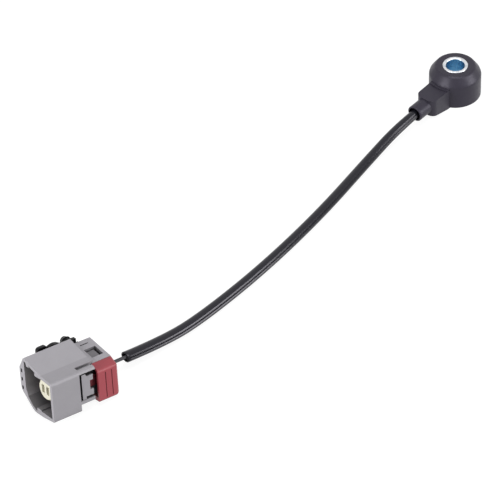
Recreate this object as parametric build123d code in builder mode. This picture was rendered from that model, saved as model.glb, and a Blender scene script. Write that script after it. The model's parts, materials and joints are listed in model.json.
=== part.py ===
# Flat response engine knock sensor with a lead and a two-way connector.
# Units are millimetres. Origin: centre of the bolt bore at the seat face.
# +Z runs up the bore, +X runs from the head along the neck to the lead.
import os
from math import cos, pi, radians, sin, tan
from build123d import *

os.makedirs("parts", exist_ok=True)

# Sensor head: sleeve for an M8 bolt
bore_d = 8.4
sleeve_wall = 1.55
sleeve_d = bore_d + 2 * sleeve_wall
head_h = 15.6
sleeve_proud = 0.3
flange_t = 2.0
bore_chamfer = 0.32 * sleeve_wall
rim_chamfer = 0.16 * sleeve_wall

# Stack on the sleeve, from the flange up; each ring follows the sleeve's size
contact_band = 3.05
contact_d = sleeve_d + 2 * contact_band
piezo_d = contact_d
insulator_d = contact_d + 0.4
mass_d = insulator_d + 0.6
flange_lip = 1.0
flange_d = mass_d + 2 * flange_lip
nut_band = 1.75
nut_flats = sleeve_d + 2 * nut_band
insulator_t = 0.4
contact_t = 0.4
piezo_t = 2.4
mass_h = 3.4
spring_t = 0.9
spring_sheet = 0.6
spring_inset = 0.7
nut_h = 2.4
stack_gap = 0.5
washer_play = 0.1

# Moulded head
head_wall = 2.5
head_d = mass_d + 2 * head_wall
shoulder_z = 11.5
top_flat_band = 3.25
top_flat_d = sleeve_d + 2 * top_flat_band
rim_round = 0.6
neck_w = 9.8
neck_h = 10.4
neck_reach = 9.4
neck_end_x = head_d / 2 + neck_reach
neck_corner_r = 3.0
neck_taper = 0.6
ledge_run = 1.4
ledge_r = head_d / 2 + ledge_run
ledge_h = 0.6
boss_d = 7.6
boss_reach = 8.4
boss_end_x = neck_end_x + boss_reach
boss_z = 6.2
recess_d = 6.2
recess_depth = 3.2

# Lead
sheath_d = 4.3
wire_d = 1.5
wire_offset = 0.85
wire_pair_turn = 35.5
wire_straight = 2.2
wire_converge = 5.9
sheath_grip = 1.6
sheath_start_x = neck_end_x - sheath_grip
lead_exit_run = 20.4
tab_w = 2.4
tab_pitch = 4.8
tab_play = 0.1
potting_h = 6.2
tab_reach = 5.2
tab_end_x = contact_d / 2 + tab_reach

# Connector housing, in its own frame: x back from the mouth rim, y to the clip side, z up
near_y = -11.4
far_y = 11.7
shroud_h = 22.0
near_h = 17.6
crease_y = -3.6
crease_h = 18.5
shroud_len = 23.4
near_len = 13.8
far_chamfer_y = 3.4
far_chamfer_z = 5.4
near_base_z = -0.4
keel_drop = 1.1
keel_near_run = 7.4
keel_far_run = 8.7
keel_corner_y = 0.4
keel_corner_z = 5.9
side_base_z = 9.5
keel_r = 5.0
near_edge_r = 1.6
wall = 1.4
top_wall = 1.45
far_wall = 3.6
mouth_depth = 12.6
floor_near_z = 0.8
floor_mid_z = 1.2
floor_far_y = 1.6
floor_far_z = 0.05
mouth_foot_run = 7.7
mouth_foot_z = 1.3
mouth_slope_run = 4.7
mouth_slope_z = 4.5
mouth_side_z = 8.0
rear_len = 32.6
rear_bottom = 2.7
rear_far_y = 8.0
rear_near_y = -7.2
rear_top_far = 19.7
rear_top_near = 16.9
rear_foot_chamfer = 1.8
terminal_pitch = 3.2
terminal_y = -0.3
terminal_z = 9.0
chamber_w = 2.6
seal_d = 3.0
seal_len = 5.0

# Latch tongue, with the channel for the lock's arm behind it
tongue_inset = 0.3
tongue_t = 1.2
tongue_end = 20.5
tongue_z0 = 5.4
tongue_z1 = 15.9
tongue_tip_z = 14.7
tongue_step_x = 17.4
notch_z0 = 8.0
notch_z1 = 12.2
notch_x = 18.9
slot_x = 16.7
slit_w = 1.1
pocket_z0 = 4.2
pocket_z1 = 16.6
flange_end = 20.8
band_end = 21.7
strip_w = 2.1
strip_depth = 1.1
strip_rise = 0.7

# Key ribs in the mouth and pockets in the front of the far wall
key_ribs = [(5.7, 1.9), (-1.2, 4.0)]
key_rib_drop = 2.5
rib_len = 9.0
floor_rib_y = -0.6
floor_rib_w = 3.0
floor_rib_top = 1.65
far_pocket_z = [15.2, 11.2, 7.2]
far_pocket_y = 10.4
far_pocket_w = 1.0
far_pocket_h = 1.7
far_pocket_depth = 3.0

# Rear window with its latch arm
window_x0 = 25.4
window_x1 = 31.0
window_y0 = -4.2
window_y1 = 1.6
window_depth = 4.4
arm_t = 1.2
arm_drop = 0.35
arm_end_gap = 1.2
arm_far_gap = 0.6
arm_near_gap = 0.4
rear_groove_x0 = 25.8
rear_groove_x1 = 29.8
rear_groove_y = 4.8
rear_groove_w = 0.5

# Terminal tower
tower_d = 9.6
tower_front = 4.0
tower_slot_w = 1.9
tower_slot_h = 3.8
tower_slot_depth = 4.0
tower_seat = 3.4
seal_ring_band = 1.4
face_seal_d = tower_d + 2 * seal_ring_band
face_seal_len = 2.0

# Terminals
terminal_w = 1.8
terminal_h = 2.6
terminal_sheet = 0.35
terminal_box_len = 10.5
crimp_len = 3.5

# Red sliding lock
lock_front = 22.6
lock_end = 33.0
lock_wall = 1.2
lock_proud = 0.4
lock_bottom = 0.5
lock_side_top = 15.0
lock_return_y = -6.6
lock_arm_tip = 17.6
lock_arm_t = 1.1
lock_arm_z0 = 7.6
lock_arm_z1 = 12.6
lock_bend_r = 1.6
lock_corner_r = 1.8
slide_gap = 0.25
lock_arm_face = 7.7
lock_groove_x = [26.3, 29.4]
lock_groove_w = 0.4
lock_groove_depth = 0.3
lock_groove_margin = 1.4

# Harness clip on the far wall
clip_x0 = 9.3
clip_z0 = 11.5
clip_t = 1.8
clip_pad_w = 5.2
clip_pad_z = 20.9
clip_pad_r = 1.5
clip_arch_w = 6.2
clip_arch_z = 20.2
clip_spring_z = 19.2
clip_tail_x = 28.6
clip_tail_z = 18.7
clip_lip = 1.9
clip_lip_z = 15.9
clip_stem_d = 3.8
clip_barb_d = 4.9
clip_stem_len = 4.6
clip_stem_x = 26.5
clip_stem_z = 16.0
clip_barbs = 2
clip_barb_pitch = 1.9

# Where the connector lies, at the angle at which the stiff lead holds it
connector_at = (272.02, -4.85, 3.13)
connector_yaw = 169.15
connector_lean = 11.97
connector_nose_up = 7.46
connector_place = (
    Pos(*connector_at)
    * Rot(0, 0, connector_yaw)
    * Rot(-connector_lean, 0, 0)
    * Rot(0, connector_nose_up, 0)
)
sheath_end_x = 44.5
sheath_line_z = 8.4


def in_frame(x, y, z):
    """A point of the connector's own frame in the part's frame."""
    return tuple((connector_place * Pos(x, y, z)).position)


def arc_radii(points):
    """One bend radius for each inner point, from the shorter run beside it."""
    radii = []
    for before, here, after in zip(points, points[1:], points[2:]):
        run_in = Vector(*here) - Vector(*before)
        run_out = Vector(*after) - Vector(*here)
        turn = run_in.get_angle(run_out)
        radii.append(0.45 * min(run_in.length, run_out.length) / tan(radians(turn / 2)))
    return radii


# Stack heights
lower_insulator_z = flange_t
lower_contact_z = lower_insulator_z + insulator_t
piezo_z = lower_contact_z + contact_t
upper_contact_z = piezo_z + piezo_t
upper_insulator_z = upper_contact_z + contact_t
mass_z = upper_insulator_z + insulator_t
spring_z = mass_z + mass_h
nut_z = spring_z + spring_t
stack_top = nut_z + nut_h
washer_bore_d = sleeve_d + 2 * stack_gap

# Steel sleeve with its flange
with BuildPart() as steel_sleeve:
    with BuildSketch(Plane.XY):
        Circle(flange_d / 2)
    extrude(amount=flange_t)
    with BuildSketch(Plane.XY):
        Circle(sleeve_d / 2)
    extrude(amount=head_h + sleeve_proud)
    with BuildSketch(Plane.XY):
        Circle(bore_d / 2)
    extrude(amount=head_h + sleeve_proud, mode=Mode.SUBTRACT)
    top_rims = steel_sleeve.edges().filter_by(GeomType.CIRCLE).group_by(Axis.Z)[-1]
    chamfer(top_rims.sort_by(SortBy.RADIUS)[0], bore_chamfer)
    top_rims = steel_sleeve.edges().filter_by(GeomType.CIRCLE).group_by(Axis.Z)[-1]
    chamfer(top_rims.sort_by(SortBy.RADIUS)[-1], rim_chamfer)
steel_sleeve.part.label = "steel_sleeve"
export_step(steel_sleeve.part, "parts/steel_sleeve.step")

# Lower insulating washer
with BuildPart() as lower_insulator:
    with BuildSketch(Plane.XY.offset(lower_insulator_z)):
        Circle(insulator_d / 2)
        Circle(sleeve_d / 2 + washer_play, mode=Mode.SUBTRACT)
    extrude(amount=insulator_t)
lower_insulator.part.label = "lower_insulator"
export_step(lower_insulator.part, "parts/lower_insulator.step")

# Lower contact washer with its tab
with BuildPart() as lower_contact:
    with BuildSketch(Plane.XY.offset(lower_contact_z)):
        Circle(contact_d / 2)
        with Locations((tab_end_x / 2, -tab_pitch / 2)):
            Rectangle(tab_end_x, tab_w)
        Circle(washer_bore_d / 2, mode=Mode.SUBTRACT)
    extrude(amount=contact_t)
lower_contact.part.label = "lower_contact_washer"
export_step(lower_contact.part, "parts/lower_contact_washer.step")

# Piezo ring
with BuildPart() as piezo_ring:
    with BuildSketch(Plane.XY.offset(piezo_z)):
        Circle(piezo_d / 2)
        Circle(washer_bore_d / 2, mode=Mode.SUBTRACT)
    extrude(amount=piezo_t)
piezo_ring.part.label = "piezo_ring"
export_step(piezo_ring.part, "parts/piezo_ring.step")

# Upper contact washer with its tab
with BuildPart() as upper_contact:
    with BuildSketch(Plane.XY.offset(upper_contact_z)):
        Circle(contact_d / 2)
        with Locations((tab_end_x / 2, tab_pitch / 2)):
            Rectangle(tab_end_x, tab_w)
        Circle(washer_bore_d / 2, mode=Mode.SUBTRACT)
    extrude(amount=contact_t)
upper_contact.part.label = "upper_contact_washer"
export_step(upper_contact.part, "parts/upper_contact_washer.step")

# Upper insulating washer
with BuildPart() as upper_insulator:
    with BuildSketch(Plane.XY.offset(upper_insulator_z)):
        Circle(insulator_d / 2)
        Circle(sleeve_d / 2 + washer_play, mode=Mode.SUBTRACT)
    extrude(amount=insulator_t)
upper_insulator.part.label = "upper_insulator"
export_step(upper_insulator.part, "parts/upper_insulator.step")

# Seismic mass ring
with BuildPart() as seismic_mass:
    with BuildSketch(Plane.XY.offset(mass_z)):
        Circle(mass_d / 2)
        Circle(sleeve_d / 2 + washer_play, mode=Mode.SUBTRACT)
    extrude(amount=mass_h)
    chamfer(seismic_mass.faces().sort_by(Axis.Z)[-1].edges().sort_by(SortBy.LENGTH)[-1], 0.4)
seismic_mass.part.label = "seismic_mass"
export_step(seismic_mass.part, "parts/seismic_mass.step")

# Dished spring washer
spring_outer_r = mass_d / 2 - spring_inset
spring_inner_r = sleeve_d / 2 + washer_play
with BuildPart() as spring_washer:
    with BuildSketch(Plane.XZ):
        with BuildLine():
            Polyline(
                (spring_inner_r, spring_z + spring_t - spring_sheet),
                (spring_outer_r, spring_z),
                (spring_outer_r, spring_z + spring_sheet),
                (spring_inner_r, spring_z + spring_t),
                close=True,
            )
        make_face()
    revolve(axis=Axis.Z)
spring_washer.part.label = "spring_washer"
export_step(spring_washer.part, "parts/spring_washer.step")

# Clamp nut, screwed on the sleeve
with BuildPart() as clamp_nut:
    with BuildSketch(Plane.XY.offset(nut_z)):
        RegularPolygon(radius=nut_flats / 2, side_count=6, major_radius=False)
        Circle(sleeve_d / 2, mode=Mode.SUBTRACT)
    extrude(amount=nut_h)
clamp_nut.part.label = "clamp_nut"
export_step(clamp_nut.part, "parts/clamp_nut.step")

# Inner ends of the two wires, from the contact tabs to the sheath
wire_y = wire_offset
tab_y = tab_pitch / 2
for name, side, tab_top in (
    ("ground_wire_head_end", -1, lower_contact_z + contact_t),
    ("signal_wire_head_end", 1, upper_contact_z + contact_t),
):
    start = (tab_end_x - 1.6, side * tab_y, tab_top + wire_d / 2)
    bend = (tab_end_x + 1.2, side * tab_y, tab_top + wire_d / 2)
    join = (sheath_start_x - 1.4, side * wire_y, boss_z)
    stop = (sheath_start_x, side * wire_y, boss_z)
    with BuildPart() as wire_end:
        with BuildLine():
            wire_line = FilletPolyline(start, bend, join, stop, radius=[1.4, 1.4])
        with BuildSketch(Plane(start, z_dir=(1, 0, 0))):
            Circle(wire_d / 2)
        sweep()
    wire_end.part.label = name
    export_step(wire_end.part, f"parts/{name}.step")

# Moulded head with neck, cable exit and the hollow that the stack fills
potting_w = tab_pitch + tab_w + 2 * tab_play
potting_start_x = mass_d / 2 - 0.8
with BuildPart() as head_housing:
    with BuildSketch(Plane.XZ):
        with BuildLine():
            Polyline(
                (0, 0),
                (head_d / 2 - 0.4, 0),
                (head_d / 2, 0.4),
                (head_d / 2, shoulder_z),
                (top_flat_d / 2, head_h),
                (0, head_h),
                close=True,
            )
        make_face()
    revolve(axis=Axis.Z)
    rims = head_housing.edges().filter_by(GeomType.CIRCLE).group_by(Axis.Z)
    chamfer(rims[-2], rim_round)
    chamfer(head_housing.edges().filter_by(GeomType.CIRCLE).group_by(Axis.Z)[-1], rim_round)
    with BuildSketch(Plane.XY) as neck_outline:
        with BuildLine():
            Polyline(
                (0, -neck_w / 2 - neck_taper),
                (neck_end_x, -neck_w / 2),
                (neck_end_x, neck_w / 2),
                (0, neck_w / 2 + neck_taper),
                close=True,
            )
        make_face()
        fillet(neck_outline.vertices().group_by(Axis.X)[-1], neck_corner_r)
    extrude(amount=neck_h)
    with BuildSketch(Plane.XY.offset(neck_h)):
        Circle(ledge_r)
        with Locations((ledge_r, 0)):
            Rectangle(ledge_r, neck_w, mode=Mode.INTERSECT)
    extrude(amount=ledge_h)
    with BuildSketch(Plane.YZ):
        with Locations((0, boss_z)):
            Circle(boss_d / 2)
    extrude(amount=boss_end_x)
    chamfer(head_housing.faces().sort_by(Axis.X)[-1].edges(), 0.35)
    with BuildSketch(Plane.XY):
        Circle(flange_d / 2)
    extrude(amount=flange_t, mode=Mode.SUBTRACT)
    with BuildSketch(Plane.XY.offset(flange_t)):
        Circle(mass_d / 2)
    extrude(amount=stack_top - flange_t, mode=Mode.SUBTRACT)
    with BuildSketch(Plane.XY):
        Circle(sleeve_d / 2)
    extrude(amount=head_h, mode=Mode.SUBTRACT)
    with BuildSketch(Plane.YZ.offset(boss_end_x - recess_depth)):
        with Locations((0, boss_z)):
            Circle(recess_d / 2)
    extrude(amount=recess_depth, mode=Mode.SUBTRACT)
    with BuildSketch(Plane.YZ.offset(sheath_start_x)):
        with Locations((0, boss_z)):
            Circle(sheath_d / 2)
    extrude(amount=boss_end_x - sheath_start_x, mode=Mode.SUBTRACT)
    # chamber in the neck for the contact tabs and the wire ends
    with BuildSketch(Plane.YZ.offset(potting_start_x)):
        with Locations((0, flange_t)):
            Rectangle(potting_w, potting_h, align=(Align.CENTER, Align.MIN))
    extrude(amount=sheath_start_x - potting_start_x, mode=Mode.SUBTRACT)
head_housing.part.label = "head_housing"
export_step(head_housing.part, "parts/head_housing.step")

# Lead: one sheath from the head to the connector, down to the floor between them
sheath_path = [
    (sheath_start_x, 0, boss_z),
    (sheath_start_x + lead_exit_run, 0, boss_z),
    (62, 0.6, sheath_d / 2 + 0.05),
    (104, 6.9, sheath_d / 2 + 0.05),
    (146, 10.1, sheath_d / 2 + 0.05),
    (184, 9.9, sheath_d / 2 + 0.05),
    in_frame(sheath_end_x + 21.5, 0, sheath_line_z),
    in_frame(sheath_end_x, 0, sheath_line_z),
]
sheath_radii = arc_radii(sheath_path)
with BuildPart() as lead_sheath:
    with BuildLine():
        sheath_line = FilletPolyline(*sheath_path, radius=sheath_radii)
    with BuildSketch(Plane(sheath_path[0], z_dir=(1, 0, 0))):
        Circle(sheath_d / 2)
    sweep()
lead_sheath.part.label = "lead_sheath"
export_step(lead_sheath.part, "parts/lead_sheath.step")
print("sheath bend radii", [round(r, 1) for r in sheath_radii])
print("sheath length", round(sheath_line.length, 1))
swept = pi * (sheath_d / 2) ** 2 * sheath_line.length
print("sheath volume", round(lead_sheath.part.volume, 1), "section x length", round(swept, 1))

# Connector housing, moulded in one with its latch tongue and latch arm
ridge_y = far_y - far_chamfer_y
far_slope = (shroud_h - crease_h) / (ridge_y - crease_y)
near_slope = (crease_h - near_h) / (crease_y - near_y)
rear_slope = (rear_top_far - rear_top_near) / (rear_far_y - rear_near_y)
arm_y0 = window_y0 + arm_near_gap
arm_y1 = window_y1 - arm_far_gap
near_base = (near_y, near_base_z)
keel_near = (near_y + keel_near_run, -keel_drop)
keel_far = (far_y - keel_far_run, -keel_drop)
keel_corner = (far_y - keel_corner_y, keel_corner_z)
far_shoulder = (far_y, shroud_h - far_chamfer_z)
far_ridge = (ridge_y, shroud_h)
near_top = (near_y, near_h)
strip_y = rear_near_y + 0.1
tongue_face_y = near_y + tongue_inset


def top_at(y):
    """Height of the two-slope top face over the width position y."""
    if y > crease_y:
        return crease_h + far_slope * (y - crease_y)
    return near_h + near_slope * (y - near_y)


def rear_top_at(y):
    """Height of the rear block's sloping top over the width position y."""
    return rear_top_near + rear_slope * (y - rear_near_y)


def long_edge(corner):
    """Filter for the lengthwise edge at one corner of the housing's section."""
    return lambda e: abs(e.center().Y - corner[0]) + abs(e.center().Z - corner[1]) < 0.02


with BuildPart() as housing_shape:
    with BuildSketch(Plane.YZ):
        with BuildLine():
            Polyline(
                near_base,
                keel_near,
                keel_far,
                keel_corner,
                (far_y, side_base_z),
                far_shoulder,
                far_ridge,
                (crease_y, crease_h),
                near_top,
                close=True,
            )
        make_face()
    extrude(amount=shroud_len)
    for corner, radius in (
        (near_base, 0.7),
        (keel_far, keel_r),
        (keel_corner, 0.5 * keel_r),
        (far_shoulder, 1.6),
        (far_ridge, 0.6),
        (near_top, near_edge_r),
    ):
        fillet(housing_shape.edges().filter_by(Axis.X).filter_by(long_edge(corner)), radius)
    # behind the near wall the body is narrower and higher off the floor
    with BuildSketch(Plane.YZ.offset(near_len)):
        with Locations((0, rear_bottom)):
            Rectangle(3 * far_y, 3 * rear_bottom, align=(Align.CENTER, Align.MAX))
    extrude(amount=shroud_len - near_len, mode=Mode.SUBTRACT)
    with BuildSketch(Plane.YZ.offset(near_len)):
        with Locations((rear_near_y, (pocket_z0 + pocket_z1) / 2)):
            Rectangle(-near_y, pocket_z1 - pocket_z0, align=(Align.MAX, Align.CENTER))
    extrude(amount=shroud_len, mode=Mode.SUBTRACT)
    with BuildSketch(Plane.YZ.offset(flange_end)):
        with Locations((rear_near_y, pocket_z0)):
            Rectangle(-near_y, 2 * pocket_z0, align=(Align.MAX, Align.MAX))
    extrude(amount=shroud_len, mode=Mode.SUBTRACT)
    with BuildSketch(Plane.YZ.offset(band_end)):
        with Locations((rear_near_y, pocket_z1 - 0.5)):
            Rectangle(-near_y, shroud_h, align=(Align.MAX, Align.MIN))
    extrude(amount=shroud_len, mode=Mode.SUBTRACT)
    # guide strip along the near edge of the top
    with BuildSketch(Plane.YZ.offset(near_len + slit_w / 2)):
        with BuildLine():
            Polyline(
                (strip_y, top_at(strip_y) - strip_depth),
                (strip_y, top_at(strip_y) + 1),
                (strip_y - strip_w, top_at(strip_y) + 1),
                (strip_y - strip_w, top_at(strip_y - strip_w) - strip_depth + strip_rise),
                close=True,
            )
        make_face()
    extrude(amount=band_end, mode=Mode.SUBTRACT)
    # rear block
    with BuildSketch(Plane.YZ.offset(near_len)):
        with BuildLine():
            Polyline(
                (rear_near_y, rear_bottom),
                (rear_far_y - rear_foot_chamfer, rear_bottom),
                (rear_far_y, rear_bottom + rear_foot_chamfer),
                (rear_far_y, rear_top_far),
                (rear_near_y, rear_top_near),
                close=True,
            )
        make_face()
    extrude(amount=rear_len - near_len)
    fillet(
        housing_shape.edges().filter_by(Axis.X).filter_by(
            lambda e: e.center().X > shroud_len and e.center().Z > rear_top_far - 0.1
        ),
        0.8,
    )
    # latch tongue, free at its rear end and rooted at its lower front corner
    with BuildSketch(Plane.XZ.offset(-tongue_face_y - tongue_t)):
        with BuildLine():
            Polyline(
                (near_len + slit_w, pocket_z0 - 0.2),
                (slot_x, pocket_z0 - 0.2),
                (slot_x, tongue_z0),
                (tongue_end, tongue_z0),
                (tongue_end, notch_z0),
                (notch_x, notch_z0),
                (notch_x, notch_z1),
                (tongue_end, notch_z1),
                (tongue_end, tongue_tip_z),
                (tongue_step_x, tongue_tip_z),
                (tongue_step_x - 0.6, tongue_z1),
                (near_len + slit_w, tongue_z1),
                close=True,
            )
        make_face()
    extrude(amount=tongue_t)
    # mouth
    with BuildSketch(Plane.YZ):
        with BuildLine():
            Polyline(
                (near_y + wall, floor_near_z),
                (floor_rib_y, floor_mid_z),
                (floor_far_y, floor_far_z),
                (far_y - mouth_foot_run, mouth_foot_z),
                (far_y - mouth_slope_run, mouth_slope_z),
                (far_y - far_wall, mouth_side_z),
                (far_y - far_wall, top_at(far_y - far_wall) - top_wall),
                (crease_y, crease_h - top_wall),
                (near_y + wall, top_at(near_y + wall) - top_wall),
                close=True,
            )
        make_face()
    extrude(amount=mouth_depth, mode=Mode.SUBTRACT)
    # key ribs under the top wall and on the floor of the mouth
    for rib_y, rib_w in key_ribs:
        rib_near = rib_y - rib_w / 2
        rib_far = rib_y + rib_w / 2
        with BuildSketch(Plane.YZ):
            with BuildLine():
                Polyline(
                    (rib_near, top_at(rib_y) - key_rib_drop),
                    (rib_far, top_at(rib_y) - key_rib_drop),
                    (rib_far, top_at(rib_far) - top_wall / 2),
                    (rib_near, top_at(rib_near) - top_wall / 2),
                    close=True,
                )
            make_face()
        extrude(amount=rib_len)
    with BuildSketch(Plane.YZ):
        with Locations((floor_rib_y, floor_rib_top)):
            Rectangle(floor_rib_w, floor_rib_top + keel_drop / 2, align=(Align.CENTER, Align.MAX))
    extrude(amount=rib_len)
    # pockets in the front of the far wall
    for pocket_z in far_pocket_z:
        with BuildSketch(Plane.YZ):
            with Locations((far_pocket_y, pocket_z)):
                Rectangle(far_pocket_w, far_pocket_h)
        extrude(amount=far_pocket_depth, mode=Mode.SUBTRACT)
    # seat of the terminal tower and the two terminal chambers
    with BuildSketch(Plane.YZ.offset(mouth_depth)):
        with Locations((terminal_y, terminal_z)):
            Circle(tower_d / 2)
    extrude(amount=tower_seat, mode=Mode.SUBTRACT)
    for side in (-1, 1):
        with BuildSketch(Plane.YZ.offset(mouth_depth + tower_seat)):
            with Locations((terminal_y + side * terminal_pitch / 2, terminal_z)):
                Rectangle(chamber_w, chamber_w)
        extrude(amount=rear_len - seal_len - mouth_depth - tower_seat, mode=Mode.SUBTRACT)
        with BuildSketch(Plane.YZ.offset(rear_len - seal_len)):
            with Locations((terminal_y + side * terminal_pitch / 2, terminal_z)):
                Circle(seal_d / 2)
        extrude(amount=seal_len, mode=Mode.SUBTRACT)
    # rear window with its latch arm, and the groove beside it
    with BuildSketch(Plane.XY.offset(rear_top_near - window_depth)):
        with Locations(((window_x0 + window_x1) / 2, (window_y0 + window_y1) / 2)):
            Rectangle(window_x1 - window_x0, window_y1 - window_y0)
    extrude(amount=shroud_h, mode=Mode.SUBTRACT)
    with BuildSketch(Plane.YZ.offset(window_x0 - 0.2)):
        with BuildLine():
            Polyline(
                (arm_y0, rear_top_at(arm_y0) - arm_drop),
                (arm_y1, rear_top_at(arm_y1) - arm_drop),
                (arm_y1, rear_top_at(arm_y1) - arm_drop - arm_t),
                (arm_y0, rear_top_at(arm_y0) - arm_drop - arm_t),
                close=True,
            )
        make_face()
    extrude(amount=window_x1 - window_x0 - arm_end_gap + 0.2)
    with BuildSketch(Plane.XY.offset(rear_top_near + 0.4)):
        with Locations(((rear_groove_x0 + rear_groove_x1) / 2, rear_groove_y)):
            Rectangle(rear_groove_x1 - rear_groove_x0, rear_groove_w)
    extrude(amount=shroud_h, mode=Mode.SUBTRACT)
with BuildPart() as connector_housing:
    with Locations(connector_place):
        add(housing_shape.part)
connector_housing.part.label = "connector_housing"
export_step(connector_housing.part, "parts/connector_housing.step")

# Terminal tower
with BuildPart() as tower_shape:
    with BuildSketch(Plane.YZ.offset(tower_front)):
        with Locations((terminal_y, terminal_z)):
            Circle(tower_d / 2)
    extrude(amount=mouth_depth + tower_seat - tower_front)
    chamfer(tower_shape.faces().sort_by(Axis.X)[0].edges(), 0.5)
    for side in (-1, 1):
        with BuildSketch(Plane.YZ.offset(tower_front)):
            with Locations((terminal_y + side * terminal_pitch / 2, terminal_z)):
                Rectangle(tower_slot_w, tower_slot_h)
        extrude(amount=tower_slot_depth, mode=Mode.SUBTRACT)
        with BuildSketch(Plane.YZ.offset(tower_front + tower_slot_depth)):
            with Locations((terminal_y + side * terminal_pitch / 2, terminal_z)):
                Rectangle(terminal_w, terminal_h)
        extrude(amount=mouth_depth, mode=Mode.SUBTRACT)
with BuildPart() as terminal_tower:
    with Locations(connector_place):
        add(tower_shape.part)
terminal_tower.part.label = "terminal_tower"
export_step(terminal_tower.part, "parts/terminal_tower.step")

# Seal ring round the foot of the tower
with BuildPart() as ring_shape:
    with BuildSketch(Plane.YZ.offset(mouth_depth - face_seal_len)):
        with Locations((terminal_y, terminal_z)):
            Circle(face_seal_d / 2)
            Circle(tower_d / 2, mode=Mode.SUBTRACT)
    extrude(amount=face_seal_len)
with BuildPart() as face_seal:
    with Locations(connector_place):
        add(ring_shape.part)
face_seal.part.label = "face_seal"
export_step(face_seal.part, "parts/face_seal.step")

# Terminals, wire seals and the two wires between the connector and the sheath
box_start = tower_front + tower_slot_depth
wire_start = rear_len - seal_len - crimp_len
for name, side, rise in (("ground", 1, -1), ("signal", -1, 1)):
    y = terminal_y + side * terminal_pitch / 2
    with BuildPart() as terminal_shape:
        with BuildSketch(Plane.YZ.offset(box_start)):
            with Locations((y, terminal_z)):
                Rectangle(terminal_w, terminal_h)
        extrude(amount=terminal_box_len)
        with BuildSketch(Plane.YZ.offset(box_start)):
            with Locations((y, terminal_z)):
                Rectangle(terminal_w - 2 * terminal_sheet, terminal_h - 2 * terminal_sheet)
        extrude(amount=terminal_box_len - 1.5, mode=Mode.SUBTRACT)
        with BuildSketch(Plane.XY.offset(terminal_z - wire_d / 2 - terminal_sheet)):
            with Locations((wire_start + crimp_len, y)):
                Rectangle(
                    wire_start + crimp_len - box_start - terminal_box_len + 0.5,
                    wire_d,
                    align=(Align.MAX, Align.CENTER),
                )
        extrude(amount=terminal_sheet)
        with BuildSketch(Plane.YZ.offset(wire_start)):
            with Locations((y, terminal_z)):
                Circle(wire_d / 2 + terminal_sheet)
        extrude(amount=crimp_len)
        with BuildSketch(Plane.YZ.offset(wire_start)):
            with Locations((y, terminal_z)):
                Circle(wire_d / 2)
        extrude(amount=crimp_len, mode=Mode.SUBTRACT)
    with BuildPart() as terminal:
        with Locations(connector_place):
            add(terminal_shape.part)
    terminal.part.label = f"{name}_terminal"
    export_step(terminal.part, f"parts/{name}_terminal.step")

    with BuildPart() as seal_shape:
        with BuildSketch(Plane.YZ.offset(rear_len - seal_len)):
            with Locations((y, terminal_z)):
                Circle(seal_d / 2)
                Circle(wire_d / 2, mode=Mode.SUBTRACT)
        extrude(amount=seal_len - 0.4)
    with BuildPart() as wire_seal:
        with Locations(connector_place):
            add(seal_shape.part)
    wire_seal.part.label = f"{name}_wire_seal"
    export_step(wire_seal.part, f"parts/{name}_wire_seal.step")

    join_y = side * wire_offset * cos(radians(wire_pair_turn))
    join_z = sheath_line_z + rise * wire_offset * sin(radians(wire_pair_turn))
    wire_points = [
        (wire_start, y, terminal_z),
        (rear_len + wire_straight, y, terminal_z),
        (sheath_end_x - wire_converge, join_y, join_z),
        (sheath_end_x, join_y, join_z),
    ]
    with BuildPart() as wire_shape:
        with BuildLine():
            FilletPolyline(*wire_points, radius=arc_radii(wire_points))
        with BuildSketch(Plane(wire_points[0], z_dir=(1, 0, 0))):
            Circle(wire_d / 2)
        sweep()
    with BuildPart() as plug_wire:
        with Locations(connector_place):
            add(wire_shape.part)
    plug_wire.part.label = f"{name}_wire_plug_end"
    export_step(plug_wire.part, f"parts/{name}_wire_plug_end.step")

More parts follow.
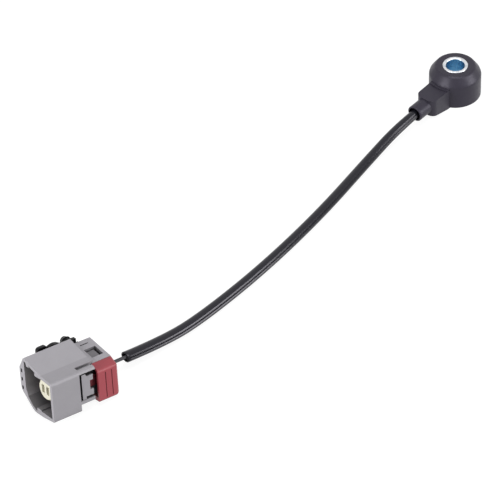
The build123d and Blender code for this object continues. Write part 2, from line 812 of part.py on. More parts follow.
# Sliding lock: shell round the near rear corner with an arm behind the latch tongue
lock_face_y = near_y - lock_proud
lock_top_y = rear_near_y - slide_gap
lock_bend_y = lock_top_y - 1.2
lock_top_z = rear_top_near + 0.1
lock_floor = rear_bottom - slide_gap
with BuildPart() as lock_shape:
    with BuildSketch(Plane.YZ.offset(lock_front)):
        with BuildLine():
            Polyline(
                (lock_top_y, lock_top_z),
                (lock_bend_y, lock_top_z - 0.3),
                (lock_face_y, lock_side_top),
                (lock_face_y, lock_bottom),
                (lock_return_y, lock_bottom),
                (lock_return_y, lock_floor),
                (lock_top_y, lock_floor),
                close=True,
            )
        make_face()
    extrude(amount=lock_end - lock_front)
    outer_edges = lock_shape.edges().filter_by(Axis.X).filter_by(
        lambda e: e.center().Y < lock_face_y + 0.1
    )
    fillet(outer_edges.sort_by(Axis.Z)[-1], lock_bend_r)
    fillet(
        lock_shape.edges().filter_by(Axis.X).filter_by(
            lambda e: e.center().Y < lock_face_y + 0.1 and e.center().Z < lock_bottom + 0.1
        ),
        0.9,
    )
    fillet(
        lock_shape.edges().filter_by(Axis.Z).filter_by(
            lambda e: e.center().Y < lock_face_y + 0.1 and e.center().X > lock_end - 0.1
        ),
        lock_corner_r,
    )
    with BuildSketch(Plane.YZ.offset(lock_front)):
        with BuildLine():
            Polyline(
                (lock_top_y, lock_top_z - lock_wall),
                (lock_bend_y + 0.1, lock_top_z - 0.3 - lock_wall),
                (lock_face_y + lock_wall, lock_side_top - 0.6),
                (lock_face_y + lock_wall, lock_floor),
                (lock_top_y, lock_floor),
                close=True,
            )
        make_face()
    extrude(amount=lock_end - lock_front - lock_wall, mode=Mode.SUBTRACT)
    with BuildSketch(Plane.XZ.offset(lock_arm_face)):
        with Locations(((lock_arm_tip + lock_end - lock_wall) / 2, (lock_arm_z0 + lock_arm_z1) / 2)):
            Rectangle(lock_end - lock_wall - lock_arm_tip + 0.4, lock_arm_z1 - lock_arm_z0)
    extrude(amount=lock_arm_t)
    for groove_x in lock_groove_x:
        with BuildSketch(Plane.XZ.offset(-lock_face_y - lock_groove_depth)):
            with Locations((groove_x, (lock_side_top + lock_bottom) / 2)):
                Rectangle(lock_groove_w, lock_side_top - lock_bottom - 2 * lock_groove_margin)
        extrude(amount=lock_groove_depth, mode=Mode.SUBTRACT)
with BuildPart() as connector_lock:
    with Locations(connector_place):
        add(lock_shape.part)
connector_lock.part.label = "connector_lock"
export_step(connector_lock.part, "parts/connector_lock.step")

# Harness clip on the far wall: foot plate with a pad and an arch, and a barbed stem
clip_pad_x1 = clip_x0 + clip_pad_w
clip_arch_x1 = clip_pad_x1 + clip_arch_w
with BuildPart() as clip_shape:
    with BuildSketch(Plane.XZ.offset(-far_y - clip_t)) as clip_outline:
        with BuildLine():
            outline = Polyline(
                (clip_arch_x1, clip_spring_z),
                (clip_arch_x1 + 0.8, clip_tail_z),
                (clip_tail_x, clip_tail_z),
                (clip_tail_x, clip_lip_z),
                (clip_tail_x + clip_lip, clip_lip_z),
                (clip_tail_x + clip_lip, clip_z0),
                (clip_x0, clip_z0),
                (clip_x0, clip_pad_z),
                (clip_pad_x1, clip_pad_z),
                (clip_pad_x1, clip_spring_z),
            )
            ThreePointArc(
                outline @ 1,
                ((clip_pad_x1 + clip_arch_x1) / 2, clip_arch_z),
                outline @ 0,
            )
        make_face()
        pad_corners = clip_outline.vertices().filter_by(lambda v: abs(v.Y - clip_pad_z) < 0.01)
        fillet(pad_corners, clip_pad_r)
    extrude(amount=clip_t)
    with BuildSketch(Plane.XZ.offset(-far_y - clip_t)):
        with Locations((clip_stem_x, clip_stem_z)):
            Circle(clip_stem_d / 2)
    extrude(amount=-clip_stem_len)
    for step in range(clip_barbs):
        barb_y = far_y + clip_t + clip_stem_len - (step + 1) * clip_barb_pitch
        with BuildSketch(Plane.XZ.offset(-barb_y)):
            with Locations((clip_stem_x, clip_stem_z)):
                Circle(clip_barb_d / 2)
        extrude(amount=-clip_barb_pitch, taper=24)
with BuildPart() as harness_clip:
    with Locations(connector_place):
        add(clip_shape.part)
harness_clip.part.label = "harness_clip"
export_step(harness_clip.part, "parts/harness_clip.step")
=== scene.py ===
import json
import math

import bmesh
import bpy
from mathutils import Matrix, Vector


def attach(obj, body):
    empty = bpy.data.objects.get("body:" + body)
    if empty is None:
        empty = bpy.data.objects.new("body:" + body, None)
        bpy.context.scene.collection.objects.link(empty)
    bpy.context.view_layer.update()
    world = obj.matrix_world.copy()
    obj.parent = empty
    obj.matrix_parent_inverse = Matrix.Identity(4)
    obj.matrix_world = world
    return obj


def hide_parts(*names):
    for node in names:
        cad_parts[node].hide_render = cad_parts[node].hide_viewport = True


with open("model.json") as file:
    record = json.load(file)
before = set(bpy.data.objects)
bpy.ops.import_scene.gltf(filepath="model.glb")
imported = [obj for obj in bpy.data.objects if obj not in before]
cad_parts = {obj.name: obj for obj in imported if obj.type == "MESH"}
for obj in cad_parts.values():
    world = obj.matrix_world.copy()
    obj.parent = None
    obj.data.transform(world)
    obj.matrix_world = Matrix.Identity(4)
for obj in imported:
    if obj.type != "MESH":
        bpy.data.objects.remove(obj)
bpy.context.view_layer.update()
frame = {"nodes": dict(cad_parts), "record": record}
nodes = frame["nodes"]
SENSOR = "sensor"
LOCK = "lock"


# Camera, world, floor and lamps; lengths in metres, lens and sensor in millimetres, angles in degrees

CAMERA_AZIMUTH = 131.43
CAMERA_ELEVATION = 42.0
CAMERA_ROLL = -1.87
CAMERA_TARGET = Vector((0.13972, -0.00344, 0.0))
CAMERA_DISTANCE = 1.5
CAMERA_LENS = 250.56
CAMERA_SENSOR = 36.0
CAMERA_SIGHT = 10.0

WORLD_LIGHT = 0.15
FLOOR_MATT = 0.20
FLOOR_GLOW_SEEN = 0.90
FLOOR_GLOW_OTHER = 0.15
FLOOR_HALF = 3.0
FLOOR_DROP = 0.0001

LAMP_DISTANCE = 1.3

# Each lamp: azimuth, elevation, side of its square, power in watts
LAMPS = {
    "left": (80, 20, 0.6, 12.5),
    "right": (210, 14, 0.5, 8.0),
    "key": (190, 36, 0.6, 2.2),
    "top": (160, 84, 0.8, 8.0),
}


def direction(azimuth, elevation):
    """Unit vector from the target towards a viewpoint."""
    a, e = math.radians(azimuth), math.radians(elevation)
    return Vector((math.sin(a) * math.cos(e), -math.cos(a) * math.cos(e), math.sin(e)))


def make_camera():
    data = bpy.data.cameras.new("camera")
    data.lens = CAMERA_LENS
    data.sensor_width = CAMERA_SENSOR
    data.clip_end = CAMERA_SIGHT
    camera = bpy.data.objects.new("camera", data)
    bpy.context.collection.objects.link(camera)
    back = direction(CAMERA_AZIMUTH, CAMERA_ELEVATION)
    right = (-back).cross(Vector((0, 0, 1))).normalized()
    up = right.cross(-back)
    roll = math.radians(CAMERA_ROLL)
    rolled_right = math.cos(roll) * right + math.sin(roll) * up
    rolled_up = math.cos(roll) * up - math.sin(roll) * right
    place = Matrix((rolled_right, rolled_up, back)).transposed().to_4x4()
    place.translation = CAMERA_TARGET + back * CAMERA_DISTANCE
    camera.matrix_world = place
    bpy.context.scene.camera = camera


def area_lamp(name, azimuth, elevation, side, power):
    data = bpy.data.lights.new(name, "AREA")
    data.shape = "SQUARE"
    data.size = side
    data.energy = power
    lamp = bpy.data.objects.new(name, data)
    bpy.context.collection.objects.link(lamp)
    back = direction(azimuth, elevation)
    lamp.location = CAMERA_TARGET + back * LAMP_DISTANCE
    lamp.rotation_euler = back.to_track_quat("Z", "Y").to_euler()


def background_light(tree, plain_strength, seen_strength=1.0):
    """seen_strength for camera, glossy and transmission rays, plain_strength for the rest."""
    path = tree.nodes.new("ShaderNodeLightPath")
    seen = path.outputs["Is Camera Ray"]
    for kind in ("Is Glossy Ray", "Is Transmission Ray"):
        either = tree.nodes.new("ShaderNodeMath")
        either.operation = "MAXIMUM"
        tree.links.new(seen, either.inputs[0])
        tree.links.new(path.outputs[kind], either.inputs[1])
        seen = either.outputs[0]
    strength = tree.nodes.new("ShaderNodeMapRange")
    strength.inputs["To Min"].default_value = plain_strength
    strength.inputs["To Max"].default_value = seen_strength
    tree.links.new(seen, strength.inputs["Value"])
    return strength.outputs[0]


def make_world():
    world = bpy.data.worlds.new("world")
    bpy.context.scene.world = world
    world.use_nodes = True
    tree = world.node_tree
    shader = tree.nodes["Background"]
    shader.inputs["Color"].default_value = (1, 1, 1, 1)
    tree.links.new(background_light(tree, WORLD_LIGHT), shader.inputs["Strength"])


def floor_paper():
    """Matt paper that also glows, so that it reads white and still takes a shadow."""
    material = bpy.data.materials.new("floor_paper")
    material.use_nodes = True
    tree = material.node_tree
    tree.nodes.clear()
    out = tree.nodes.new("ShaderNodeOutputMaterial")
    total = tree.nodes.new("ShaderNodeAddShader")
    matt = tree.nodes.new("ShaderNodeBsdfDiffuse")
    matt.inputs["Color"].default_value = (FLOOR_MATT, FLOOR_MATT, FLOOR_MATT, 1)
    glow = tree.nodes.new("ShaderNodeEmission")
    strength = background_light(tree, FLOOR_GLOW_OTHER, FLOOR_GLOW_SEEN)
    tree.links.new(strength, glow.inputs["Strength"])
    tree.links.new(matt.outputs[0], total.inputs[0])
    tree.links.new(glow.outputs[0], total.inputs[1])
    tree.links.new(total.outputs[0], out.inputs["Surface"])
    return material


def make_floor():
    mesh = bpy.data.meshes.new("floor")
    half = FLOOR_HALF
    corners = [(-half, -half, 0), (half, -half, 0), (half, half, 0), (-half, half, 0)]
    mesh.from_pydata(corners, [], [(0, 1, 2, 3)])
    floor = bpy.data.objects.new("floor", mesh)
    floor.location = CAMERA_TARGET + Vector((0, 0, -FLOOR_DROP))
    bpy.context.collection.objects.link(floor)
    mesh.materials.append(floor_paper())


bpy.context.scene.view_settings.view_transform = "Standard"
make_camera()
make_world()
make_floor()
for lamp_name, lamp_values in LAMPS.items():
    area_lamp(lamp_name, *lamp_values)


# Building blocks of the materials

CLOUD_SCALE = 160.0
FLOW_SCALE = 420.0
PLATING_BLOTCH_SCALE = 700.0
PLATING_FINE_SCALE = 4200.0
PLATING_ROUGHNESS = (0.24, 0.40)
TURNING_DEPTH = 0.000006
PLATING_DEPTH = 0.00002
METAL_TINTS = (0.88, 1.08)
METAL_DEPTH = 0.00001
NOOK_SAMPLES = 12
# Face attribute that holds painted shade
PAINTED_SHADE_ATTRIBUTE = "shade_painted_on_face"


def new_material(name):
    material = bpy.data.materials.new(name)
    material.use_nodes = True
    tree = material.node_tree
    return material, tree, tree.nodes["Principled BSDF"]


def object_coords(tree):
    return tree.nodes.new("ShaderNodeTexCoord").outputs["Object"]


def noise(tree, coords, scale, detail=3.0, rough=0.55):
    node = tree.nodes.new("ShaderNodeTexNoise")
    node.inputs["Scale"].default_value = scale
    node.inputs["Detail"].default_value = detail
    node.inputs["Roughness"].default_value = rough
    tree.links.new(coords, node.inputs["Vector"])
    return node.outputs["Fac"]


def spread(tree, value, low, high, from_low=0.3, from_high=0.7):
    """Maps from_low..from_high to low..high; most of a noise lies in 0.3..0.7."""
    node = tree.nodes.new("ShaderNodeMapRange")
    node.inputs["From Min"].default_value = from_low
    node.inputs["From Max"].default_value = from_high
    node.inputs["To Min"].default_value = low
    node.inputs["To Max"].default_value = high
    tree.links.new(value, node.inputs["Value"])
    return node.outputs[0]


def mix_colours(tree, factor, first, second):
    """Mixes two colours, each one a tuple or the output of a node."""
    node = tree.nodes.new("ShaderNodeMix")
    node.data_type = "RGBA"
    tree.links.new(factor, node.inputs[0])
    for socket, colour in ((node.inputs[6], first), (node.inputs[7], second)):
        if isinstance(colour, tuple):
            socket.default_value = (*colour, 1)
        else:
            tree.links.new(colour, socket)
    return node.outputs[2]


def scaled(tree, colour, factor):
    node = tree.nodes.new("ShaderNodeVectorMath")
    node.operation = "SCALE"
    tree.links.new(colour, node.inputs[0])
    tree.links.new(factor, node.inputs["Scale"])
    return node.outputs[0]


def bumps(tree, shader, layers):
    """layers: (height output, strength, distance in metres), the first one lowest."""
    normal = None
    for height, strength, distance in layers:
        node = tree.nodes.new("ShaderNodeBump")
        node.inputs["Strength"].default_value = strength
        node.inputs["Distance"].default_value = distance
        tree.links.new(height, node.inputs["Height"])
        if normal is not None:
            tree.links.new(normal, node.inputs["Normal"])
        normal = node.outputs["Normal"]
    tree.links.new(normal, shader.inputs["Normal"])


def tint(colour, factor):
    return tuple(min(1.0, c * factor) for c in colour)


def crevice_shade(tree, colour, nooks):
    """Paints shade into a colour in gaps, darker where ambient occlusion finds the gap closed.

    nooks: (reach in metres, painted shade left in a closed gap, openness from which the colour is full).
    """
    for reach, closed_tone, full_from in nooks:
        nook = tree.nodes.new("ShaderNodeAmbientOcclusion")
        nook.samples = NOOK_SAMPLES
        nook.inputs["Distance"].default_value = reach
        shade = spread(tree, nook.outputs["AO"], closed_tone, 1.0, 0.0, full_from)
        colour = scaled(tree, colour, shade)
    return colour


def scale_by_painted_shade(tree, colour):
    """Scales a colour by the painted shade stored on each face."""
    shade_painted_on_face = tree.nodes.new("ShaderNodeAttribute")
    shade_painted_on_face.attribute_name = PAINTED_SHADE_ATTRIBUTE
    return scaled(tree, colour, shade_painted_on_face.outputs["Fac"])


def moulded(name, colour, roughness, vary=0.07, grain=3200.0, grain_depth=0.00002, specular=0.5,
            rough_vary=0.06, gloss_tint=(1.0, 1.0, 1.0), nooks=(), paint_shade_per_face=False):
    """Moulded plastic or rubber: uneven tone, fine spark texture and soft flow marks, with painted shade in
    gaps and on faces where asked.
    """
    material, tree, shader = new_material(name)
    coords = object_coords(tree)
    cloud = noise(tree, coords, CLOUD_SCALE, 4.0)
    fine = noise(tree, coords, grain, 2.0, 0.6)
    flow = noise(tree, coords, FLOW_SCALE, 3.0)
    clouded = mix_colours(tree, spread(tree, cloud, 0.0, 1.0), tint(colour, 1 - vary), tint(colour, 1 + vary))
    speckled = mix_colours(tree, spread(tree, fine, 0.0, 1.0, 0.2, 0.8), tint(colour, 1 - vary / 2), clouded)
    # Painted shade in gaps, then per face where asked
    shaded = crevice_shade(tree, speckled, nooks)
    if paint_shade_per_face:
        shaded = scale_by_painted_shade(tree, shaded)
    tree.links.new(shaded, shader.inputs["Base Color"])
    rough = spread(tree, flow, roughness - rough_vary, roughness + rough_vary)
    tree.links.new(rough, shader.inputs["Roughness"])
    shader.inputs["Specular IOR Level"].default_value = specular
    shader.inputs["Specular Tint"].default_value = (*gloss_tint, 1)
    bumps(tree, shader, [(flow, 0.25, grain_depth * 2), (fine, 0.5, grain_depth)])
    return material


def distance_from_axis(tree, coords):
    split = tree.nodes.new("ShaderNodeSeparateXYZ")
    tree.links.new(coords, split.inputs[0])
    flat = tree.nodes.new("ShaderNodeCombineXYZ")
    tree.links.new(split.outputs["X"], flat.inputs["X"])
    tree.links.new(split.outputs["Y"], flat.inputs["Y"])
    radius = tree.nodes.new("ShaderNodeVectorMath")
    radius.operation = "LENGTH"
    tree.links.new(flat.outputs[0], radius.inputs[0])
    return radius.outputs["Value"]


def turning_marks(tree, radius, pitch):
    """A wave over the radius, one ring for each pitch."""
    phase = tree.nodes.new("ShaderNodeMath")
    phase.operation = "MULTIPLY"
    phase.inputs[1].default_value = 2 * math.pi / pitch
    tree.links.new(radius, phase.inputs[0])
    wave = tree.nodes.new("ShaderNodeMath")
    wave.operation = "SINE"
    tree.links.new(phase.outputs[0], wave.inputs[0])
    return wave.outputs[0]


def plated_steel(name, bore_radius):
    """Bright zinc on the face, blue passivated inside the bore, with turning marks."""
    material, tree, shader = new_material(name)
    coords = object_coords(tree)
    radius = distance_from_axis(tree, coords)
    edge_start, edge_end = bore_radius + BORE_EDGE[0], bore_radius + BORE_EDGE[1]
    inside = spread(tree, radius, 1.0, 0.0, edge_start, edge_end)
    blotch = noise(tree, coords, PLATING_BLOTCH_SCALE, 4.0, 0.6)
    fine = noise(tree, coords, PLATING_FINE_SCALE, 2.0)
    zinc = mix_colours(tree, spread(tree, blotch, 0.0, 1.0), ZINC_DARK, ZINC_LIGHT)
    blue = mix_colours(tree, spread(tree, blotch, 0.0, 1.0), BLUE_DARK, BLUE_LIGHT)
    tree.links.new(mix_colours(tree, inside, zinc, blue), shader.inputs["Base Color"])
    shader.inputs["Metallic"].default_value = 1.0
    tree.links.new(spread(tree, fine, *PLATING_ROUGHNESS), shader.inputs["Roughness"])
    rings = turning_marks(tree, radius, TURNING_PITCH)
    bumps(tree, shader, [(rings, 0.25, TURNING_DEPTH), (blotch, 0.3, PLATING_DEPTH)])
    return material


def metal(name, colour, roughness, grain=1600.0):
    material, tree, shader = new_material(name)
    coords = object_coords(tree)
    blotch = noise(tree, coords, grain, 3.0)
    darker, lighter = (tint(colour, factor) for factor in METAL_TINTS)
    tone = mix_colours(tree, spread(tree, blotch, 0.0, 1.0), darker, lighter)
    tree.links.new(tone, shader.inputs["Base Color"])
    shader.inputs["Metallic"].default_value = 1.0
    tree.links.new(spread(tree, blotch, roughness - 0.06, roughness + 0.08), shader.inputs["Roughness"])
    bumps(tree, shader, [(blotch, 0.3, METAL_DEPTH)])
    return material


# Colours and the materials of the slots

HEAD_BLACK = (0.025, 0.022, 0.033)
HEAD_GLOSS = (0.90, 0.87, 1.0)
SHEATH_BLACK = (0.009, 0.009, 0.013)
SHEATH_GLOSS = (0.95, 0.92, 1.0)
WIRE_BLACK = (0.045, 0.044, 0.052)
CLIP_BLACK = (0.006, 0.006, 0.007)
CONNECTOR_GREY = (0.365, 0.352, 0.378)
LOCK_RED = (0.385, 0.056, 0.073)
TOWER_CREAM = (0.84, 0.81, 0.66)
SEAL_BROWN = (0.30, 0.10, 0.05)
FILM_AMBER = (0.62, 0.36, 0.10)
PIEZO_BEIGE = (0.66, 0.62, 0.52)
CONTACT_BRASS = (0.80, 0.58, 0.28)
MASS_BRASS = (0.72, 0.54, 0.26)
STEEL_GREY = (0.56, 0.57, 0.58)
TERMINAL_TIN = (0.68, 0.67, 0.63)
ZINC_DARK = (0.52, 0.54, 0.57)
ZINC_LIGHT = (0.80, 0.80, 0.81)
BLUE_DARK = (0.20, 0.40, 0.58)
BLUE_LIGHT = (0.36, 0.60, 0.76)

BORE_RADIUS = 0.0042
BORE_EDGE = (0.00002, 0.00012)
TURNING_PITCH = 0.00022
# Painted shade in gaps: (reach in metres, painted shade left in a closed gap, openness from which the colour
# is full)
CONNECTOR_PAINTED_GAP_SHADE = [(0.012, 0.10, 0.90), (0.003, 0.0, 0.70)]
LOCK_PAINTED_GAP_SHADE = [(0.006, 0.0, 0.85)]

materials = {
    "head_plastic": moulded(
        "head_plastic", HEAD_BLACK, roughness=0.42, vary=0.08, grain=2600.0, grain_depth=0.00003,
        specular=0.34, gloss_tint=HEAD_GLOSS,
    ),
    "sleeve_steel": plated_steel("sleeve_steel", BORE_RADIUS),
    "insulating_film": moulded("insulating_film", FILM_AMBER, roughness=0.35, vary=0.05),
    "contact_brass": metal("contact_brass", CONTACT_BRASS, roughness=0.3),
    "piezo_ceramic": moulded("piezo_ceramic", PIEZO_BEIGE, roughness=0.7, vary=0.05),
    "mass_brass": metal("mass_brass", MASS_BRASS, roughness=0.28),
    "plain_steel": metal("plain_steel", STEEL_GREY, roughness=0.32),
    "sheath_black": moulded(
        "sheath_black", SHEATH_BLACK, roughness=0.20, vary=0.10, grain=1500.0, grain_depth=0.00001,
        specular=0.32, rough_vary=0.03, gloss_tint=SHEATH_GLOSS,
    ),
    "wire_black": moulded(
        "wire_black", WIRE_BLACK, roughness=0.42, vary=0.08, grain=2000.0, grain_depth=0.00001,
        specular=0.3,
    ),
    "connector_grey": moulded(
        "connector_grey", CONNECTOR_GREY, roughness=0.52, vary=0.035, grain=3000.0, grain_depth=0.00003,
        specular=0.4, nooks=CONNECTOR_PAINTED_GAP_SHADE, paint_shade_per_face=True,
    ),
    "tower_cream": moulded(
        "tower_cream", TOWER_CREAM, roughness=0.42, vary=0.03, grain=2600.0, grain_depth=0.00001,
        specular=0.5,
    ),
    "seal_silicone": moulded("seal_silicone", SEAL_BROWN, roughness=0.5, vary=0.05),
    "terminal_tin": metal("terminal_tin", TERMINAL_TIN, roughness=0.25),
    "lock_red": moulded(
        "lock_red", LOCK_RED, roughness=0.40, vary=0.05, grain=2600.0, grain_depth=0.00002,
        specular=0.5, nooks=LOCK_PAINTED_GAP_SHADE, paint_shade_per_face=True,
    ),
    "clip_black": moulded(
        "clip_black", CLIP_BLACK, roughness=0.28, vary=0.10, grain=900.0, grain_depth=0.00002,
        specular=0.16,
    ),
}


# Solids: each gets its slot's material

slot_of = {entry["node"]: entry["material_slot"] for entry in frame["record"]["subparts"]}


def dress(name):
    node = nodes[name]
    node.data.materials.clear()
    node.data.materials.append(materials[slot_of[name]])


for node_name in nodes:
    dress(node_name)


# Skins: copies of the outer solids, in their place, with softened edges

SKIN_EDGES = {
    "head_housing": 0.00035,
    "steel_sleeve": 0.0001,
    "connector_housing": 0.00018,
    "terminal_tower": 0.00015,
    "connector_lock": 0.00022,
    "harness_clip": 0.0003,
}
WELD_WITHIN = 0.000002
FLAT_WITHIN = math.radians(0.6)
EDGE_STEPS = 3
EDGE_FROM = math.radians(28.0)
NORMAL_WEIGHT = 80


def new_piece(name, mesh):
    """Turns a bmesh into an object of the scene."""
    data = bpy.data.meshes.new(name)
    mesh.to_mesh(data)
    mesh.free()
    piece = bpy.data.objects.new(name, data)
    bpy.context.collection.objects.link(piece)
    return piece


def skin_of(node_name):
    """A copy of a solid with its vertices welded and its flat faces joined."""
    mesh = bmesh.new()
    mesh.from_mesh(nodes[node_name].data)
    bmesh.ops.remove_doubles(mesh, verts=mesh.verts, dist=WELD_WITHIN)
    bmesh.ops.dissolve_limit(
        mesh, angle_limit=FLAT_WITHIN, verts=mesh.verts, edges=mesh.edges, use_dissolve_boundaries=False
    )
    return new_piece(node_name + "_skin", mesh)


def soften(piece, width):
    bevel = piece.modifiers.new("edges", "BEVEL")
    bevel.width = width
    bevel.segments = EDGE_STEPS
    bevel.limit_method = "ANGLE"
    bevel.angle_limit = EDGE_FROM
    bevel.use_clamp_overlap = True
    bevel.miter_outer = "MITER_ARC"
    bevel.harden_normals = False
    for face in piece.data.polygons:
        face.use_smooth = True
    weighted = piece.modifiers.new("normals", "WEIGHTED_NORMAL")
    weighted.keep_sharp = False
    weighted.weight = NORMAL_WEIGHT


# Head skin: the neck's underside rises towards the cable exit, and its broad part is longer

HEAD_RADIUS = 0.0118
NECK_CORNER_X = 0.0180
NECK_END_X = 0.0212
NECK_LONGER = 0.0014
NECK_LIFT = 0.0021
NECK_UNDERSIDE_Z = 0.0006
END_MARGIN = 0.0001
CUT_WITHIN = 0.000001


def reshape_neck(piece):
    mesh = bmesh.new()
    mesh.from_mesh(piece.data)
    bmesh.ops.bisect_plane(
        mesh, geom=mesh.verts[:] + mesh.edges[:] + mesh.faces[:], dist=CUT_WITHIN,
        plane_co=(HEAD_RADIUS, 0, 0), plane_no=(1, 0, 0),
    )
    run = NECK_END_X + NECK_LONGER - HEAD_RADIUS
    for v in mesh.verts:
        if NECK_CORNER_X < v.co.x < NECK_END_X + END_MARGIN:
            v.co.x += NECK_LONGER
        if v.co.x > HEAD_RADIUS and v.co.z < NECK_UNDERSIDE_Z:
            v.co.z += NECK_LIFT * min(1.0, (v.co.x - HEAD_RADIUS) / run)
    mesh.to_mesh(piece.data)
    mesh.free()


# Connector skins, with a deeper latch arm and painted shade on some faces; x from the mouth back, y to the
# far side, z up

CONNECTOR_PLACE = (
    Matrix.Translation((0.27202, -0.00485, 0.00313))
    @ Matrix.Rotation(math.radians(169.15), 4, "Z")
    @ Matrix.Rotation(math.radians(-11.97), 4, "X")
    @ Matrix.Rotation(math.radians(7.46), 4, "Y")
)
CONNECTOR_FRAME = CONNECTOR_PLACE.inverted()

ARM_X = (0.0253, 0.0299)
ARM_Y = (-0.0039, 0.0011)
ARM_Z = (0.0150, 0.0190)
ARM_LOWER = 0.0006
REAR_NEAR_Y = -0.0072
REAR_NEAR_TOP = 0.0169
REAR_SLOPE = 0.1842
REAR_TOP_MARGIN = 0.0002

CREASE_Y = -0.0036
CREASE_TOP = 0.0185
FAR_SLOPE = 0.294
NEAR_SLOPE = 0.115
NEAR_SLOPE_END = 0.0210
NEAR_SLOPE_DEPTH = 0.0008
MOUTH_X = (0.00015, 0.0129)
MOUTH_Y = (-0.0104, 0.0085)
MOUTH_BOTTOM = -0.0002
MOUTH_ROOF = 0.0010
LOCK_ARM_END = 0.0223

# Painted shade on the housing: factors that darken the mouth's floor and walls, the latch arm's top and the
# top's near slope
MOUTH_FLOOR_PAINTED_SHADE = 0.55
MOUTH_WALL_PAINTED_SHADE = 0.92
LATCH_ARM_PAINTED_SHADE = 0.50
NEAR_SLOPE_PAINTED_SHADE = 0.88
# Painted shade on the lock: its top darker than its sides, and its arm's tip dark
LOCK_TOP_PAINTED_SHADE = 0.72
LOCK_ARM_PAINTED_SHADE = 0.35
FULL_TONE = 1.0
FLOOR_FACING = 0.6
TOP_FACING = 0.8
LOCK_TOP_FROM = 0.2


def within(value, ends):
    return ends[0] < value < ends[1]


def on_latch_arm(local):
    rear_top = REAR_NEAR_TOP + REAR_SLOPE * (local.y - REAR_NEAR_Y)
    below_rear_top = local.z < rear_top - REAR_TOP_MARGIN
    return below_rear_top and within(local.x, ARM_X) and within(local.y, ARM_Y) and within(local.z, ARM_Z)


def lower_latch_arm(piece):
    down = CONNECTOR_PLACE.to_3x3() @ Vector((0, 0, -ARM_LOWER))
    for v in piece.data.vertices:
        if on_latch_arm(CONNECTOR_FRAME @ v.co):
            v.co += down


# Painted shade of a housing face: darker inside the mouth, on the latch arm's top and on the top's near slope
def housing_painted_shade(centre, normal):
    slope = FAR_SLOPE if centre.y > CREASE_Y else NEAR_SLOPE
    top = CREASE_TOP + slope * (centre.y - CREASE_Y)
    mouth_z = (MOUTH_BOTTOM, top - MOUTH_ROOF)
    if within(centre.x, MOUTH_X) and within(centre.y, MOUTH_Y) and within(centre.z, mouth_z):
        return MOUTH_FLOOR_PAINTED_SHADE if normal.z > FLOOR_FACING else MOUTH_WALL_PAINTED_SHADE
    if on_latch_arm(centre) and normal.z > FLOOR_FACING:
        return LATCH_ARM_PAINTED_SHADE
    near_slope = centre.x < NEAR_SLOPE_END and centre.y < CREASE_Y and centre.z > top - NEAR_SLOPE_DEPTH
    return NEAR_SLOPE_PAINTED_SHADE if near_slope and normal.z > TOP_FACING else FULL_TONE


# Painted shade of a lock face: the arm's tip dark, upward faces darker towards the top
def lock_painted_shade(centre, normal):
    if centre.x < LOCK_ARM_END:
        return LOCK_ARM_PAINTED_SHADE
    upward = min(1.0, max(0.0, (normal.z - LOCK_TOP_FROM) / (1.0 - LOCK_TOP_FROM)))
    return FULL_TONE + (LOCK_TOP_PAINTED_SHADE - FULL_TONE) * upward


def store_face_painted_shade(piece, painted_shade_of):
    """Stores a painted shade on each face, which the material multiplies its colour by."""
    turn = CONNECTOR_FRAME.to_3x3()
    tones = piece.data.attributes.new(PAINTED_SHADE_ATTRIBUTE, "FLOAT", "FACE")
    for face in piece.data.polygons:
        tones.data[face.index].value = painted_shade_of(CONNECTOR_FRAME @ face.center, turn @ face.normal)


for node_name, edge_width in SKIN_EDGES.items():
    piece = skin_of(node_name)
    if node_name == "head_housing":
        reshape_neck(piece)
    if node_name == "connector_housing":
        lower_latch_arm(piece)
        store_face_painted_shade(piece, housing_painted_shade)
    if node_name == "connector_lock":
        store_face_painted_shade(piece, lock_painted_shade)
    soften(piece, edge_width)
    piece.data.materials.append(materials[slot_of[node_name]])
    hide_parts(node_name)
    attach(piece, LOCK if node_name == "connector_lock" else SENSOR)


# Lead: a grooved sheath on one smooth curve, open at the connector end

SHEATH_D = 0.0043
LEAD_FLOOR = 0.0022
LEAD_ROUTE = [
    (0.0196, 0.0, 0.0062),
    (0.0400, 0.0, 0.0062),
    (0.0620, 0.0006, LEAD_FLOOR),
    (0.1040, 0.0069, LEAD_FLOOR),
    (0.1460, 0.0101, LEAD_FLOOR),
    (0.1840, 0.0099, LEAD_FLOOR),
    (0.206687, 0.007723, 0.002895),
    (0.227515, 0.003141, 0.005626),
]
STEPS_PER_POINT = 28

# Section: shares of the sheath's radius, half angles in radians and numbers of steps
SHEATH_PLAIN = 0.97
GROOVE_AT_HEAD = 0.06
GROOVE_DEEPER = 0.10
GROOVE_GROWTH = 1.6
GROOVE_HALF = 0.11
BAND_HALF = 0.42
BAND_STEPS = 16
BAND_REACH = 20
ROUND_STEPS = 34

# Side that the groove faces, in degrees aside from the camera and below it
GROOVE_ASIDE = 4.0
GROOVE_BELOW = 16.0
GROOVE_SIDE = direction(CAMERA_AZIMUTH + GROOVE_ASIDE, CAMERA_ELEVATION - GROOVE_BELOW)

# Width level with the floor: shares added past the head's hole and evenly along the lead
WIDER_PAST_HEAD = 0.10
WIDER_ALONG_LEAD = 0.22
WIDENS_FROM = 0.03
WIDENS_OVER = 0.06

# Open end: (share of the section, depth into the sheath) of each ring from the rim inwards
OPEN_END = [(0.93, -0.0002), (0.78, 0.0), (0.76, 0.0025), (0.02, 0.0027)]


def spline_points(route, steps):
    """Points along a smooth curve whose control points are the route's."""
    curve = bpy.data.curves.new("route", "CURVE")
    curve.dimensions = "3D"
    curve.resolution_u = steps
    spline = curve.splines.new("NURBS")
    spline.points.add(len(route) - 1)
    for point, place in zip(spline.points, route):
        point.co = (*place, 1.0)
    spline.order_u = 3
    spline.use_endpoint_u = True
    holder = bpy.data.objects.new("route", curve)
    bpy.context.collection.objects.link(holder)
    line = bpy.data.meshes.new_from_object(holder)
    points = [v.co.copy() for v in line.vertices]
    bpy.data.objects.remove(holder)
    bpy.data.curves.remove(curve)
    bpy.data.meshes.remove(line)
    return points


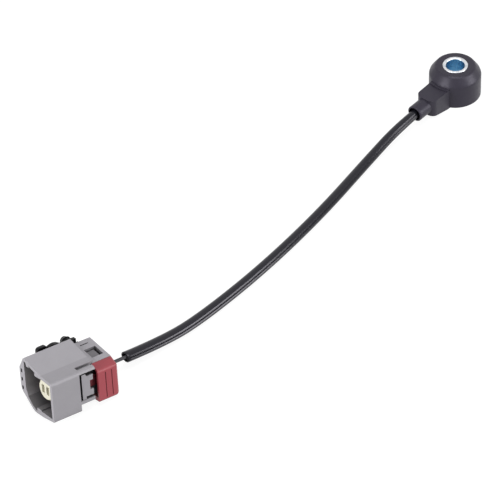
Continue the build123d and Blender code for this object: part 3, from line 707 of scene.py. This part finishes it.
def groove_profile(depth):
    """Section as (angle, radius) pairs; a flat band with the groove in it is at angle 0."""
    fine = [i * BAND_HALF / BAND_STEPS for i in range(-BAND_REACH, BAND_REACH + 1)]
    start, stop = fine[-1], 2 * math.pi + fine[0]
    coarse = [start + (stop - start) * i / ROUND_STEPS for i in range(1, ROUND_STEPS)]
    pairs = []
    for angle in fine + coarse:
        turn = (angle + math.pi) % (2 * math.pi) - math.pi
        band = math.cos(BAND_HALF) / math.cos(turn) if abs(turn) < BAND_HALF else 1.0
        dip = math.exp(-((turn / GROOVE_HALF) ** 4))
        pairs.append((angle, SHEATH_D / 2 * SHEATH_PLAIN * (band - depth * dip)))
    return pairs


def section_ring(tube, place, along, share, side):
    """One ring of the sheath; share: how far along the lead it is, 0 to 1."""
    facing = (side - along * side.dot(along)).normalized()
    across = along.cross(facing)
    level = along.cross(Vector((0, 0, 1))).normalized()
    past_head = min(1.0, max(0.0, (share - WIDENS_FROM) / WIDENS_OVER))
    wider = WIDER_PAST_HEAD * past_head + WIDER_ALONG_LEAD * share
    ring = []
    for angle, radius in groove_profile(GROOVE_AT_HEAD + GROOVE_DEEPER * min(1.0, share * GROOVE_GROWTH)):
        spoke = radius * (math.cos(angle) * facing + math.sin(angle) * across)
        ring.append(tube.verts.new(place + spoke + wider * spoke.dot(level) * level))
    return ring


def join_rings(tube, first, second):
    size = len(first)
    for i in range(size):
        j = (i + 1) % size
        tube.faces.new((first[i], first[j], second[j], second[i]))


def add_open_end(tube, rim, centre, along):
    """The cut edge of the sheath, then the hollow that the wires come out of."""
    previous = rim
    for share, depth in OPEN_END:
        step = -along * depth
        ring = [tube.verts.new(centre + (v.co - centre) * share + step) for v in rim]
        join_rings(tube, previous, ring)
        previous = ring
    tube.faces.new(previous)


def grooved_tube(name, points, side):
    tube = bmesh.new()
    last = len(points) - 1
    rings = []
    for index, place in enumerate(points):
        along = (points[min(index + 1, last)] - points[max(index - 1, 0)]).normalized()
        rings.append(section_ring(tube, place, along, index / last, side))
    for first, second in zip(rings, rings[1:]):
        join_rings(tube, first, second)
    add_open_end(tube, rings[-1], points[-1], (points[-1] - points[-2]).normalized())
    tube.faces.new(list(reversed(rings[0])))
    bmesh.ops.recalc_face_normals(tube, faces=tube.faces)
    for face in tube.faces:
        face.smooth = True
    return new_piece(name, tube)


lead_line = spline_points(LEAD_ROUTE, STEPS_PER_POINT)
lead = grooved_tube("lead_grooved_sheath", lead_line, GROOVE_SIDE)
lead.data.materials.append(materials["sheath_black"])
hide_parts("lead_sheath")
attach(lead, SENSOR)
